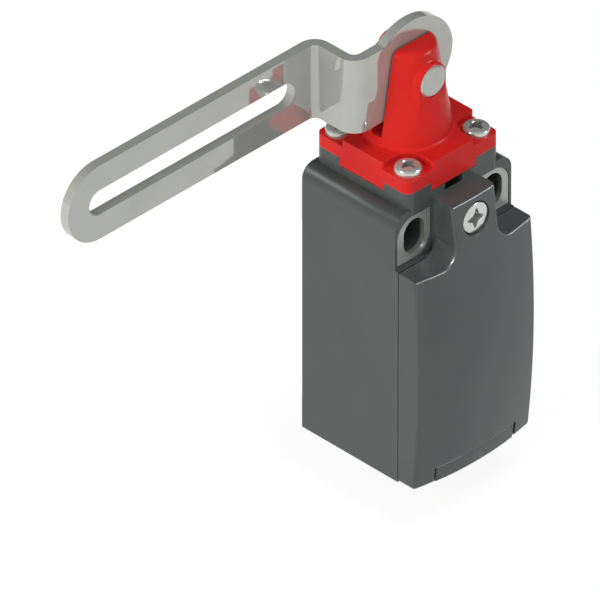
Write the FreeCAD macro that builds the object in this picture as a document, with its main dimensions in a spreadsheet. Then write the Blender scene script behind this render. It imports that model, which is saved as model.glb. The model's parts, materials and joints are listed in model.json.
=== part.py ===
import FreeCAD, Part
import math
import os
from types import SimpleNamespace

import Sketcher
from FreeCAD import Placement, Rotation, Vector

# Safety limit switch with a slotted lever, in millimetres.
# Origin: centre of the conduit entry in the bottom face, on the axis of the plunger.
# +X is the switch's right side, -Y its cover, +Y its mounting face, +Z up.

SIZES = {
    # housing
    "housing_width": 30.0,
    "shoulder_height": 58.1,
    "back_depth": 12.4,  # axis to the mounting face
    "parting_depth": 12.5,  # axis to the front face under the cover
    "brow_step": 0.8,  # how far the face above the cover's shoulders is set back
    "brow_drop": 11.5,  # shoulders to the step under the brow
    "shoulder_radius": 3.0,
    "back_edge_radius": 0.5,
    "back_recess": 0.3,  # relief of the mounting face between its two pads
    "back_pad_low": 6.35,
    "back_pad_drop": 12.0,
    "wall": 2.0,
    "cavity_floor": 11.0,
    "cavity_drop": 3.1,  # step under the brow to the cavity's roof
    "conduit_radius": 9.25,  # core of an M20 x 1.5 thread
    "neck_rise": 1.7,
    "post_rise": 1.8,  # raised corners that key the head
    "post_margin": 3.0,  # wall of a raised corner on each side of its screw's axis
    "neck_corner_radius": 1.5,
    "relief_width": 4.6,  # pocket in the neck's front, above the cover's tab
    "relief_depth": 2.0,
    "relief_drop": 2.0,  # shoulders to the pocket's floor
    "fit_gap": 0.1,  # play between parts that are screwed together
    # fixing slots and their plates
    "slot_spacing": 20.0,
    "slot_drop": 6.1,
    "slot_width": 5.3,
    "slot_length": 7.3,
    "plate_tab_gap": 0.4,
    "plate_side_margin": 0.7,
    "plate_low_margin": 0.6,
    "plate_high_margin": 1.6,
    "plate_radius": 4.0,
    "plate_thickness": 1.0,
    # front cover
    "tab_width": 11.0,
    "tab_rise": 0.3,
    "tab_radius": 3.5,
    "cover_foot": 5.6,  # parting face to the middle of the front at the foot
    "cover_tip": 4.5,  # parting face to the middle of the front at the tab's top
    "cover_bulge": 1.9,  # how far the front bows out between foot and tip
    "cover_plan_radius": 71.0,
    "cover_edge_radius": 0.6,
    "cover_corner_radius": 0.8,
    "cover_rib": 12.0,  # top of the bar that presses the seal's foot
    "cover_rib_thickness": 3.2,
    "parting_gap": 0.2,
    "seal_width": 0.9,
    "seal_depth": 0.8,
    "seal_inset": 0.4,  # cavity's edge to the seal
    # cover hinge and screw
    "hinge_setback": 1.8,
    "hinge_height": 1.75,
    "knuckle_radius": 1.95,  # at the knuckle's ends
    "knuckle_swell": 0.5,  # how much fuller the knuckle is in the middle
    "knuckle_gap": 0.15,
    "knuckle_end_gap": 0.5,
    "knuckle_edge_radius": 0.5,
    "ear_width": 4.5,
    "ear_skin": 1.5,  # wall outside each end of the pin
    "hinge_pin_radius": 0.6,
    "running_gap": 0.05,  # radial play of a pin that turns
    "cover_screw_drop": 4.3,
    "cover_screw_stand": 0.5,
    "cover_screw_head_radius": 3.1,
    "cover_screw_head_height": 1.6,
    "cover_screw_radius": 1.5,
    "cover_screw_length": 7.2,
    "cover_screw_point": 1.5,
    # head
    "head_plate": 4.2,
    "screw_recess_depth": 1.5,
    "screw_recess_radius": 3.5,
    "head_screw_gap": 1.475,  # foot of the turret to a screw's head
    "head_screw_head_radius": 2.57,
    "head_screw_head_height": 1.6,
    "head_screw_radius": 1.3,
    "head_screw_length": 7.5,
    "turret_foot_radius": 8.4,
    "turret_tip_radius": 5.2,
    "turret_rise": 19.1,
    "turret_flare": 0.75,
    "turret_crown": 1.5,
    "boss_wall": 0.45,
    "boss_depth": 6.45,
    "boss_edge_radius": 0.5,
    "boss_blend_radius": 0.8,
    "arm_corner_radius": 0.7,
    "fork_gap": 0.3,  # from the lever to each side of the fork
    "fork_floor_gap": 0.6,  # from the lever's eye to the bottom of the fork
    "head_gasket_gap": 0.5,
    "head_gasket_width": 4.0,
    "head_gasket_depth": 0.9,
    "key_gap": 0.15,  # under the head's keys
    # pivot and lever
    "pivot_rise": 12.8,
    "pin_radius": 3.15,
    "pin_stand": 0.3,
    "pin_bevel": 0.3,
    "lever_thickness": 2.0,
    "lever_width": 16.0,
    "eye_radius": 10.6,
    "bend_radius": 1.5,  # inside of each bend
    "web_reach": 13.8,  # pivot to the middle of the web between the bends
    "arm_depth": 10.0,  # pivot plane to the arm's middle plane
    "arm_reach": 69.4,  # pivot to the centre of the arm's round end
    "lever_slot_width": 5.3,
    "lever_slot_inner": 22.6,
    "lever_slot_outer": 69.5,
    # plunger and spring
    "stroke": 2.0,
    "swing": 90.0,  # lever angle for the whole stroke, in degrees
    "cam_gap": 0.15,
    "tongue_width": 5.2,
    "tongue_gap": 0.15,
    "collar_radius": 3.5,
    "collar_length": 7.3,
    "collar_roof": 2.4,  # wall between the collar's bore and the fork
    "bore_gap": 0.1,
    "stem_radius": 2.0,
    "spring_bore_gap": 1.1,
    "spring_height": 8.5,
    "spring_wire": 0.7,
    "spring_gap": 0.5,  # stem to the inside of the coil
    "spring_turns": 4.0,
    "ring_width": 1.6,
    "ring_height": 1.55,
    # contact block
    "block_gap": 0.4,
    "block_top_gap": 0.3,
    "block_height": 26.4,
    "block_front": 4.0,
    "channel_width": 6.8,
    "channel_back": 3.5,
    "channel_drop": 2.8,
    "lid_thickness": 1.4,
    "lid_ledge": 0.9,
    "partition": 1.0,
    "pocket_back": 2.0,
    "pocket_height": 8.8,
    "nc_drop": 5.7,
    "row_spacing": 11.7,
    "terminal_inset": 4.0,
    "terminal_thickness": 1.2,
    "terminal_height": 7.8,
    "terminal_margin": 0.5,
    "arm_height": 2.4,
    "arm_end": 1.5,
    "contact_height": 0.4,
    "contact_radius": 0.6,
    "contact_offset": 2.3,
    "bridge_thickness": 0.6,
    "bridge_width": 1.6,
    "bridge_length": 6.0,
    "contact_gap": 0.05,
    "carrier_width": 2.4,
    "carrier_front": 1.5,
    "carrier_back": 3.2,
    "carrier_floor_gap": 0.5,  # under the carrier at the end of its stroke
    "contact_spring_wire": 0.35,
    "contact_spring_radius": 0.75,
    "contact_spring_turns": 3.0,
    "terminal_screw_radius": 1.4,
    "terminal_screw_head": 2.7,
    "terminal_screw_head_height": 1.8,
    "terminal_screw_length": 6.6,
    "clamp_size": 6.0,
    "clamp_thickness": 0.8,
    "wire_gap": 1.8,
    "block_screw_rise": 3.1,
    "block_screw_seat": 1.0,  # behind the axis
    "block_screw_radius": 1.5,
    "block_screw_head": 2.75,
    "block_screw_head_height": 1.8,
    "block_screw_length": 8.0,
    "block_boss_radius": 2.8,
    "block_boss_front": 6.0,
}

TURN_TO_X = Rotation(Vector(0, 1, 0), 90)
TURN_TO_BACK = Rotation(Vector(1, 0, 0), -90)
TURN_TO_FRONT = Rotation(Vector(1, 0, 0), 90)
FAR = 200.0  # past everything, for a cut that goes right through
HEAD_RIM = 0.45  # share of a screw head's height that is its straight rim
WIRE_FLATS = 6
COVER_SWEEP = 40.0  # degrees round the far axis, wider than the cover


class Size:
    """A number together with the sheet expression that gives it."""

    def __init__(self, value, text):
        self.value = value
        self.text = text

    def __add__(self, other):
        other = as_size(other)
        return Size(self.value + other.value, f"({self.text} + {other.text})")

    def __sub__(self, other):
        other = as_size(other)
        return Size(self.value - other.value, f"({self.text} - {other.text})")

    def __mul__(self, other):
        other = as_size(other)
        return Size(self.value * other.value, f"({self.text} * {other.text})")

    def __truediv__(self, other):
        other = as_size(other)
        return Size(self.value / other.value, f"({self.text} / {other.text})")

    def __radd__(self, other):
        return as_size(other) + self

    def __rsub__(self, other):
        return as_size(other) - self

    def __rmul__(self, other):
        return as_size(other) * self

    def __neg__(self):
        return as_size(0) - self


def as_size(number):
    return number if isinstance(number, Size) else Size(float(number), f"({float(number)!r})")


def root(size):
    return Size(math.sqrt(size.value), f"sqrt({size.text})")


doc = FreeCAD.newDocument("limit_switch")
sheet = doc.addObject("Spreadsheet::Sheet", "Sizes")
for row, (name, value) in enumerate(SIZES.items(), start=1):
    sheet.set(f"A{row}", name)
    sheet.set(f"B{row}", str(value))
    sheet.setAlias(f"B{row}", name)
doc.recompute()
dim = SimpleNamespace(**{name: Size(value, f"Sizes.{name}") for name, value in SIZES.items()})


# Ways of making solids


def bind(item, path, size):
    item.setExpression(path, as_size(size).text)


def place(item, x=0, y=0, z=0, turn=Rotation()):
    item.Placement = Placement(Vector(), turn)
    for axis, value in (("x", x), ("y", y), ("z", z)):
        bind(item, f"Placement.Base.{axis}", value)
    return item


def box(name, x, y, z):
    """A block between two values on each axis."""
    item = doc.addObject("Part::Box", name)
    for side, (low, high) in (("Length", x), ("Width", y), ("Height", z)):
        bind(item, side, as_size(high) - low)
    return place(item, x[0], y[0], z[0])


def rod(name, radius, start, length, turn=Rotation()):
    """A cylinder from a starting point, along +Z or turned to another axis."""
    item = doc.addObject("Part::Cylinder", name)
    bind(item, "Radius", radius)
    bind(item, "Height", length)
    return place(item, *start, turn)


def upright(name, radius, x, y, z):
    return rod(name, radius, (x, y, z[0]), as_size(z[1]) - z[0])


def backward(name, radius, x, z, y):
    return rod(name, radius, (x, y[0], z), as_size(y[1]) - y[0], TURN_TO_BACK)


def fuse(name, *items):
    item = doc.addObject("Part::MultiFuse", name)
    item.Shapes = list(items)
    item.Refine = True
    return item


def cut(name, base, *tools):
    item = doc.addObject("Part::Cut", name)
    item.Base = base
    item.Tool = tools[0] if len(tools) == 1 else fuse(name + "_tools", *tools)
    item.Refine = True
    return item


def common(name, *items):
    item = doc.addObject("Part::MultiCommon", name)
    item.Shapes = list(items)
    item.Refine = True
    return item


def group(name, *items):
    """Separate solids that share one node."""
    item = doc.addObject("Part::Compound", name)
    item.Links = list(items)
    return item


def origin_part(body, role):
    return next(item for item in body.Origin.OriginFeatures if item.Role == role)


def arc_between(start, end, bend):
    """The arc of radius |bend| from start to end, turning left where bend is positive."""
    chord = end - start
    height = math.sqrt(max(bend * bend - chord.Length**2 / 4, 0.0))
    left = Vector(-chord.y, chord.x, 0).normalize()
    centre = (start + end) / 2 + left * math.copysign(height, bend)
    first, last = (start, end) if bend > 0 else (end, start)
    angles = [math.atan2(point.y - centre.y, point.x - centre.x) for point in (first, last)]
    return Part.ArcOfCircle(Part.Circle(centre, Vector(0, 0, 1), abs(bend)), *angles)


def draw(sketch, outline):
    """A closed outline of (x, y) corners. A third value is the radius of the arc that leaves the corner."""
    corners = [(as_size(corner[0]), as_size(corner[1])) for corner in outline]
    bends = [as_size(corner[2]) if len(corner) > 2 else None for corner in outline]
    points = [Vector(x.value, y.value, 0) for x, y in corners]
    for index, bend in enumerate(bends):
        start, end = points[index], points[(index + 1) % len(points)]
        straight = bend is None
        sketch.addGeometry(Part.LineSegment(start, end) if straight else arc_between(start, end, bend.value))
    starts = [2 if bend is not None and bend.value < 0 else 1 for bend in bends]
    for index, (x, y) in enumerate(corners):
        before = (index - 1) % len(corners)
        sketch.addConstraint(
            Sketcher.Constraint("Coincident", before, 3 - starts[before], index, starts[index])
        )
        for kind, axis, size in (("DistanceX", -2, x), ("DistanceY", -1, y)):
            if size.value == 0:
                sketch.addConstraint(Sketcher.Constraint("PointOnObject", index, starts[index], axis))
                continue
            number = sketch.addConstraint(
                Sketcher.Constraint(kind, -1, 1, index, starts[index], size.value)
            )
            bind(sketch, f"Constraints[{number}]", size)
        if bends[index] is not None:
            radius = bends[index] if bends[index].value > 0 else -bends[index]
            number = sketch.addConstraint(Sketcher.Constraint("Radius", index, radius.value))
            bind(sketch, f"Constraints[{number}]", radius)


def sketched(name, plane, outline, offset=0):
    """A new body with an outline drawn on one of its origin planes, or at an offset from it."""
    body = doc.addObject("PartDesign::Body", name)
    sketch = body.newObject("Sketcher::SketchObject", name + "_outline")
    sketch.AttachmentSupport = [(origin_part(body, plane), "")]
    sketch.MapMode = "FlatFace"
    bind(sketch, "AttachmentOffset.Base.z", offset)
    draw(sketch, outline)
    return body, sketch


def prism(name, plane, outline, offset, length):
    """An outline padded along its plane's normal: +Z from XY, -Y from XZ, +X from YZ."""
    body, sketch = sketched(name, plane, outline, offset)
    pad = body.newObject("PartDesign::Pad", name + "_pad")
    pad.Profile = sketch
    bind(pad, "Length", length)
    return body


def turned(name, outline):
    """An outline in the XZ plane, turned once round Z."""
    body, sketch = sketched(name, "XZ_Plane", outline)
    turn = body.newObject("PartDesign::Revolution", name + "_turn")
    turn.Profile = sketch
    turn.ReferenceAxis = (sketch, ["V_Axis"])
    turn.Angle = 360
    return body


def finished(name, item):
    """A body that starts from another object's shape, to be rounded."""
    body = doc.addObject("PartDesign::Body", name)
    body.BaseFeature = item
    doc.recompute()
    return body


def rounded(body, name, radius, chosen):
    """Round those edges of a body that the test chooses."""
    doc.recompute()
    base = body.Tip
    names = [f"Edge{index}" for index, edge in enumerate(base.Shape.Edges, start=1) if chosen(edge)]
    fillet = body.newObject("PartDesign::Fillet", name)
    fillet.Base = (base, names)
    bind(fillet, "Radius", radius)
    body.Tip = fillet
    return body


def near(number, size, slack=0.01):
    return abs(number - as_size(size).value) < slack


def runs_along(edge, axis):
    """True for a straight edge along an axis: its box is flat on the other two."""
    spans = {"X": edge.BoundBox.XLength, "Y": edge.BoundBox.YLength, "Z": edge.BoundBox.ZLength}
    return spans.pop(axis) > 0.1 and max(spans.values()) < 0.001


def mirrored(outline):
    return [(-as_size(corner[0]), corner[1], *(-as_size(bend) for bend in corner[2:])) for corner in outline]


def ring_of_four(offset):
    return [(side * offset, front * offset) for side in (-1, 1) for front in (-1, 1)]


def obround(x, y, radius, reach_x, reach_y):
    """A slot outline: round ends of a radius, their centres out from (x, y) by the reach on one axis."""
    if as_size(reach_x).value == 0:
        return [
            (x + radius, y + reach_y, radius),
            (x, y + reach_y + radius, radius),
            (x - radius, y + reach_y),
            (x - radius, y - reach_y, radius),
            (x, y - reach_y - radius, radius),
            (x + radius, y - reach_y),
        ]
    return [
        (x + reach_x + radius, y, radius),
        (x + reach_x, y + radius),
        (x - reach_x, y + radius, radius),
        (x - reach_x - radius, y, radius),
        (x - reach_x, y - radius),
        (x + reach_x, y - radius, radius),
    ]


def screw(name, head_radius, head_height, shank_radius, length, point=0.2):
    """A screw along Z, seated at the origin: a crowned head above, a shank with a bevelled point below."""
    rim = head_height * HEAD_RIM
    rise = head_height - rim
    crown = (head_radius * head_radius + rise * rise) / (2 * rise)
    tip = shank_radius - as_size(point) / 2
    outline = [
        (0, -length),
        (tip, -length),
        (shank_radius, as_size(point) - length),
        (shank_radius, 0),
        (head_radius, 0),
        (head_radius, rim, crown),
        (0, head_height),
    ]
    return turned(name, outline)


def spring(name, wire, radius, turns, height):
    """A round wire wound up the Z axis from the origin to the height, wire included."""
    body, sketch = sketched(name, "XZ_Plane", wire_section(wire, radius))
    coil = body.newObject("PartDesign::AdditiveHelix", name + "_coil")
    coil.Profile = sketch
    coil.ReferenceAxis = (origin_part(body, "Z_Axis"), [""])
    coil.Mode = "height-turns-angle"
    bind(coil, "Height", height - wire)
    bind(coil, "Turns", turns)
    return body


def wire_section(wire, radius):
    """The section of a round wire, in flats that keep the long sweep light."""
    half = wire / 2
    angles = [2 * math.pi * (step + 0.5) / WIRE_FLATS for step in range(WIRE_FLATS)]
    return [(radius + half * math.cos(angle), half + half * math.sin(angle)) for angle in angles]


# Shared places, each worked out from the sizes that it fits

half_width = dim.housing_width / 2
half_cavity = half_width - dim.wall
cavity_back = dim.back_depth - dim.wall
brow_bottom = dim.shoulder_height - dim.brow_drop
brow_depth = dim.parting_depth - dim.brow_step
back_pad_high = dim.shoulder_height - dim.back_pad_drop
cavity_top = brow_bottom - dim.cavity_drop
neck_height = dim.shoulder_height + dim.neck_rise
post_height = neck_height + dim.post_rise
head_top = post_height + dim.head_plate

half_tab = dim.tab_width / 2
tab_top = dim.shoulder_height + dim.tab_rise
cover_top = brow_bottom - dim.fit_gap
cover_back = dim.parting_depth + dim.parting_gap
cover_foot_depth = dim.parting_depth + dim.cover_foot
cover_tip_depth = dim.parting_depth + dim.cover_tip
cover_screw_height = dim.shoulder_height - dim.cover_screw_drop
cover_screw_seat = cover_tip_depth + dim.cover_screw_stand - dim.cover_screw_head_height
cover_screw_tip = cover_screw_seat - dim.cover_screw_length

hinge_depth = cover_foot_depth - dim.hinge_setback
half_notch = half_width - dim.ear_width
half_knuckle = half_notch - dim.knuckle_end_gap
hinge_pin_length = dim.housing_width - dim.ear_skin * 2
notch_radius = dim.knuckle_radius + dim.knuckle_gap
notch_height = dim.hinge_height + notch_radius

slot_height = dim.shoulder_height - dim.slot_drop
slot_offset = dim.slot_spacing / 2
slot_radius = dim.slot_width / 2
slot_reach = (dim.slot_length - dim.slot_width) / 2
plate_back = brow_depth - dim.fit_gap - dim.plate_thickness

screw_recess_floor = head_top - dim.screw_recess_depth
head_screw_reach = dim.turret_foot_radius + dim.head_screw_gap + dim.head_screw_head_radius
head_screw_offset = head_screw_reach / math.sqrt(2)
head_screw_tip = screw_recess_floor - dim.head_screw_length
half_neck = head_screw_offset + dim.post_margin
half_key = head_screw_offset - dim.post_margin
key_bottom = neck_height + dim.key_gap

turret_top = head_top + dim.turret_rise
pivot_height = head_top + dim.pivot_rise
boss_radius = dim.pin_radius + dim.boss_wall
pin_half = dim.boss_depth + dim.pin_stand
fork_half = dim.lever_thickness / 2 + dim.fork_gap
fork_floor = pivot_height - dim.eye_radius - dim.fork_floor_gap

cam_rate = dim.stroke / (dim.swing * math.pi / 180)  # plunger travel for each radian of swing
cam_end = root(dim.eye_radius * dim.eye_radius - cam_rate * cam_rate)
cam_start = cam_end - dim.stroke
tongue_top = pivot_height - cam_start - dim.cam_gap
collar_top = fork_floor - dim.collar_roof - dim.bore_gap * 2
collar_bottom = collar_top - dim.collar_length
spring_seat = collar_bottom - dim.spring_height
spring_bore_radius = dim.collar_radius + dim.spring_bore_gap
spring_radius = dim.stem_radius + dim.spring_gap + dim.spring_wire / 2
ring_inner = dim.collar_radius + dim.running_gap
ring_outer = ring_inner + dim.ring_width
head_gasket_inner = dim.collar_radius + dim.head_gasket_gap
head_gasket_outer = head_gasket_inner + dim.head_gasket_width
head_gasket_bottom = neck_height - dim.head_gasket_depth

half_block = half_cavity - dim.block_gap
block_top = cavity_top - dim.block_top_gap
block_bottom = block_top - dim.block_height
block_screw_height = block_bottom + dim.block_screw_rise
nc_row = block_top - dim.nc_drop
no_row = nc_row - dim.row_spacing
half_channel = dim.channel_width / 2
channel_floor = no_row - dim.channel_drop
lid_half = half_channel + dim.lid_ledge
lid_back = dim.lid_thickness - dim.block_front
pocket_inner = half_channel + dim.partition
carrier_top = block_top - dim.fit_gap * 2
terminal_offset = half_block - dim.terminal_inset
terminal_front = dim.pocket_back - dim.terminal_thickness
clamp_back = terminal_front - dim.wire_gap
clamp_front = clamp_back - dim.clamp_thickness
arm_middle = dim.pocket_back - dim.terminal_thickness / 2
nc_bridge_top = nc_row - dim.arm_height / 2 - dim.contact_height * 2 - dim.contact_gap
nc_bridge_bottom = nc_bridge_top - dim.bridge_thickness
no_contact_top = no_row + dim.arm_height / 2 + dim.contact_height
no_bridge_bottom = no_contact_top + dim.contact_height + dim.stroke + dim.contact_gap * 3
no_bridge_top = no_bridge_bottom + dim.bridge_thickness
rows = (("nc", nc_row), ("no", no_row))
sides = ((-1, "left"), (1, "right"))


def dome(name, inset):
    """The cover's bowed front as a solid: its side profile swung round a far upright axis."""
    foot = -cover_foot_depth + inset
    tip = -cover_tip_depth + inset
    chord = tab_top * tab_top + (foot - tip) * (foot - tip)
    bow = chord / (8 * dim.cover_bulge) + dim.cover_bulge / 2
    behind = dim.wall - brow_depth
    side = [(behind, 0), (behind, tab_top), (tip, tab_top, bow), (foot, 0)]
    body, sketch = sketched(name, "YZ_Plane", side)
    axis_depth = dim.cover_plan_radius - cover_foot_depth
    line = sketch.addGeometry(
        Part.LineSegment(Vector(axis_depth.value, 0, 0), Vector(axis_depth.value, 10, 0)), True
    )
    sketch.addConstraint(Sketcher.Constraint("Vertical", line))
    number = sketch.addConstraint(Sketcher.Constraint("DistanceX", -1, 1, line, 1, axis_depth.value))
    bind(sketch, f"Constraints[{number}]", axis_depth)
    swing = body.newObject("PartDesign::Revolution", name + "_swing")
    swing.Profile = sketch
    swing.ReferenceAxis = (sketch, ["Axis0"])
    swing.Midplane = True
    swing.Angle = COVER_SWEEP
    return body


def plate_outline(grow):
    """One fixing plate, on the right: two round corners on one diagonal, two sharp ones on the other."""
    inner = half_tab + dim.plate_tab_gap - grow
    outer = half_width - dim.plate_side_margin + grow
    low = brow_bottom + dim.plate_low_margin - grow
    high = dim.shoulder_height - dim.plate_high_margin + grow
    bend = dim.plate_radius + grow
    return [
        (inner + bend, low),
        (outer, low),
        (outer, high - bend, bend),
        (outer - bend, high),
        (inner, high),
        (inner, low + bend, bend),
    ]


def fixing_slot(name, side):
    outline = obround(side * slot_offset, slot_height, slot_radius, 0, slot_reach)
    return prism(name, "XZ_Plane", outline, -FAR, FAR * 2)


def square_block(name, bottom, top):
    """A square of the neck's width with round upright edges."""
    half = half_neck
    corners = [(-half, -half), (half, -half), (half, half), (-half, half)]
    body = prism(name, "XY_Plane", corners, bottom, top - bottom)
    return rounded(body, name + "_corners", dim.neck_corner_radius, lambda edge: runs_along(edge, "Z"))


# Housing


def make_housing():
    block = prism(
        "block",
        "YZ_Plane",
        [
            (-dim.parting_depth, 0),
            (dim.back_depth, 0),
            (dim.back_depth, dim.shoulder_height),
            (-brow_depth, dim.shoulder_height),
            (-brow_depth, brow_bottom),
            (-dim.parting_depth, brow_bottom),
        ],
        -half_width,
        dim.housing_width,
    )
    rounded(
        block,
        "shoulders",
        dim.shoulder_radius,
        lambda edge: runs_along(edge, "Y") and near(edge.BoundBox.ZMin, dim.shoulder_height),
    )
    rounded(
        block,
        "back_edges",
        dim.back_edge_radius,
        lambda edge: runs_along(edge, "Z") and near(edge.BoundBox.YMin, dim.back_depth),
    )
    neck = square_block("neck", brow_bottom, post_height)
    web = box(
        "knuckle_web",
        (-half_knuckle, half_knuckle),
        (-hinge_depth, -brow_depth),
        (0, dim.hinge_height + dim.knuckle_radius),
    )
    limits = box("knuckle_limits", (-half_width, half_width), (-FAR, 0), (0, dim.cavity_floor))
    barrel = swelled_rod("barrel", dim.knuckle_radius, half_knuckle)
    blank = common("knuckle_bowed", fuse("knuckle_blank", barrel, web), limits, dome("knuckle_front", 0))
    knuckle = finished("knuckle", blank)
    rounded(knuckle, "knuckle_edges", dim.knuckle_edge_radius, is_knuckle_edge)
    boss = backward(
        "block_boss",
        dim.block_boss_radius,
        0,
        block_screw_height,
        (dim.block_boss_front, dim.back_depth - dim.wall / 2),
    )
    cavity = box(
        "cavity",
        (-half_cavity, half_cavity),
        (-FAR, cavity_back),
        (dim.cavity_floor, cavity_top),
    )
    hollow = cut("hollow", fuse("casing", block, neck), cavity)
    shell = fuse("shell", hollow, knuckle, boss)
    tools = [
        box(
            "recess",
            (-FAR, FAR),
            (dim.back_depth - dim.back_recess, FAR),
            (dim.back_pad_low, back_pad_high),
        ),
        box("key_across", (-FAR, FAR), (-half_key, half_key), (neck_height, FAR * 2)),
        box("key_along", (-half_key, half_key), (-FAR, FAR), (neck_height, FAR * 2)),
        box(
            "relief",
            (-dim.relief_width / 2, dim.relief_width / 2),
            (-half_neck - 1, dim.relief_depth - half_neck),
            (dim.shoulder_height - dim.relief_drop, neck_height + 1),
        ),
        upright("conduit", dim.conduit_radius, 0, 0, (-1, dim.cavity_floor + 1)),
        upright("spring_bore", spring_bore_radius, 0, 0, (spring_seat, FAR * 2)),
        upright("stem_hole", dim.stem_radius + dim.bore_gap, 0, 0, (cavity_top - 1, spring_seat + 1)),
        upright("gasket_recess", head_gasket_outer + dim.fit_gap, 0, 0, (head_gasket_bottom, FAR * 2)),
        backward(
            "cover_screw_hole",
            dim.cover_screw_radius + dim.fit_gap * 2,
            0,
            cover_screw_height,
            (-FAR, dim.fit_gap * 5 - cover_screw_tip),
        ),
        rod(
            "hinge_hole",
            dim.hinge_pin_radius,
            (-FAR, -hinge_depth, dim.hinge_height),
            FAR * 2,
            TURN_TO_X,
        ),
        backward(
            "block_screw_hole",
            dim.block_screw_radius + dim.fit_gap,
            0,
            block_screw_height,
            (-FAR, dim.block_screw_seat + dim.block_screw_length + dim.fit_gap * 3),
        ),
        seal_frame("seal_groove", dim.fit_gap / 2, dim.parting_depth + 1),
    ]
    for index, (x, y) in enumerate(ring_of_four(head_screw_offset)):
        depth = (head_screw_tip - dim.fit_gap * 3, FAR * 2)
        tools.append(upright(f"post_hole_{index}", dim.head_screw_radius + dim.fit_gap, x, y, depth))
    for side, name in sides:
        outline = plate_outline(dim.fit_gap)
        outline = outline if side > 0 else mirrored(outline)
        tools.append(prism(f"plate_recess_{name}", "XZ_Plane", outline, plate_back, FAR))
        tools.append(fixing_slot(f"slot_{name}", side))
    return cut("housing", shell, *tools)


def swelled_rod(name, radius, half_length):
    """A round bar on the hinge axis, fuller in the middle, so that its top follows the cover's bow."""
    bow = half_length * half_length / (2 * dim.knuckle_swell) + dim.knuckle_swell / 2
    outline = [(0, -half_length), (radius, -half_length, bow), (radius, half_length), (0, half_length)]
    return place(turned(name, outline), 0, -hinge_depth, dim.hinge_height, TURN_TO_X)


def is_knuckle_edge(edge):
    """True for the top and the two ends of the knuckle's bowed front, which lies well before the pin."""
    extent = edge.BoundBox
    front = -hinge_depth - dim.hinge_pin_radius
    return extent.YMax < front.value and extent.ZMax > dim.hinge_height.value


def seal_frame(name, grow, front):
    """A rectangular frame round the cavity's mouth, from the bottom of its groove to a front depth."""
    inner = half_cavity + dim.seal_inset
    outer = inner + dim.seal_width
    low, high = dim.cavity_floor - dim.seal_inset, cavity_top + dim.seal_inset
    depth = (-front, dim.seal_depth - dim.parting_depth)
    outside = box(
        name + "_outside",
        (-outer - grow, outer + grow),
        depth,
        (low - dim.seal_width - grow, high + dim.seal_width + grow),
    )
    inside = box(name + "_inside", (grow - inner, inner - grow), (-FAR, FAR), (low + grow, high - grow))
    return cut(name, outside, inside)


# Front cover


def make_front_cover():
    bend = dim.tab_radius
    corner = dim.cover_corner_radius
    outline = [
        (corner - half_width, 0),
        (half_width - corner, 0, corner),
        (half_width, corner),
        (half_width, cover_top),
        (half_tab + bend, cover_top, -bend),
        (half_tab, cover_top + bend),
        (half_tab, tab_top),
        (-half_tab, tab_top),
        (-half_tab, cover_top + bend, -bend),
        (-half_tab - bend, cover_top),
        (-half_width, cover_top),
        (-half_width, corner, corner),
    ]
    slab = prism("cover_outline", "XZ_Plane", outline, cover_back, FAR)
    body = finished("cover_body", common("cover_blank", dome("cover_front", 0), slab))
    front = -cover_back - dim.wall / 2
    rounded(body, "cover_edges", dim.cover_edge_radius, lambda edge: edge.BoundBox.YMax < front.value)
    tab_back = box(
        "tab_back",
        (-half_tab, half_tab),
        (-cover_back - dim.wall / 2, -brow_depth - dim.fit_gap),
        (brow_bottom + dim.fit_gap, tab_top),
    )
    inside = box("cover_inside", (-half_cavity, half_cavity), (-FAR, 0), (dim.cover_rib, cavity_top))
    foot_floor = notch_height + dim.knuckle_swell + dim.wall
    foot_span = (foot_floor, dim.cover_rib - dim.cover_rib_thickness)
    foot_inside = box("foot_inside", (-half_cavity, half_cavity), (-FAR, 0), foot_span)
    cores = fuse("cover_cores", inside, foot_inside)
    notch_round = swelled_rod("notch_round", notch_radius, half_notch)
    notch_back = box("notch_back", (-half_notch, half_notch), (-hinge_depth, 0), (-1, notch_height))
    heel_corner = box(
        "heel_corner",
        (-half_width, half_width),
        (-hinge_depth, -dim.parting_depth),
        (-1, dim.hinge_height),
    )
    heel_sweep = rod(
        "heel_sweep",
        hinge_depth - cover_back,
        (-half_width, -hinge_depth, dim.hinge_height),
        dim.housing_width,
        TURN_TO_X,
    )
    return cut(
        "front_cover",
        fuse("cover_solid", body, tab_back),
        common("cover_hollow", dome("cover_back_face", dim.wall), cores),
        backward(
            "screw_recess",
            dim.cover_screw_head_radius + dim.fit_gap * 3,
            0,
            cover_screw_height,
            (-FAR, -cover_screw_seat),
        ),
        backward(
            "screw_hole",
            dim.cover_screw_radius + dim.fit_gap * 2,
            0,
            cover_screw_height,
            (-FAR, 0),
        ),
        fuse("knuckle_notch", notch_round, notch_back),
        rod(
            "ear_holes",
            dim.hinge_pin_radius + dim.running_gap,
            (-hinge_pin_length / 2 - dim.fit_gap, -hinge_depth, dim.hinge_height),
            hinge_pin_length + dim.fit_gap * 2,
            TURN_TO_X,
        ),
        cut("heel", heel_corner, heel_sweep),
    )


def make_cover_screw():
    item = screw(
        "cover_screw",
        dim.cover_screw_head_radius,
        dim.cover_screw_head_height,
        dim.cover_screw_radius,
        dim.cover_screw_length,
        dim.cover_screw_point,
    )
    return place(item, 0, -cover_screw_seat, cover_screw_height, TURN_TO_FRONT)


def make_hinge_pin():
    return rod(
        "cover_hinge_pin",
        dim.hinge_pin_radius,
        (-hinge_pin_length / 2, -hinge_depth, dim.hinge_height),
        hinge_pin_length,
        TURN_TO_X,
    )


def make_fixing_plate(side, name):
    outline = plate_outline(0)
    blank = prism(
        name + "_blank",
        "XZ_Plane",
        outline if side > 0 else mirrored(outline),
        plate_back,
        dim.plate_thickness,
    )
    return cut(name, blank, fixing_slot(name + "_slot", side))


# Head


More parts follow.
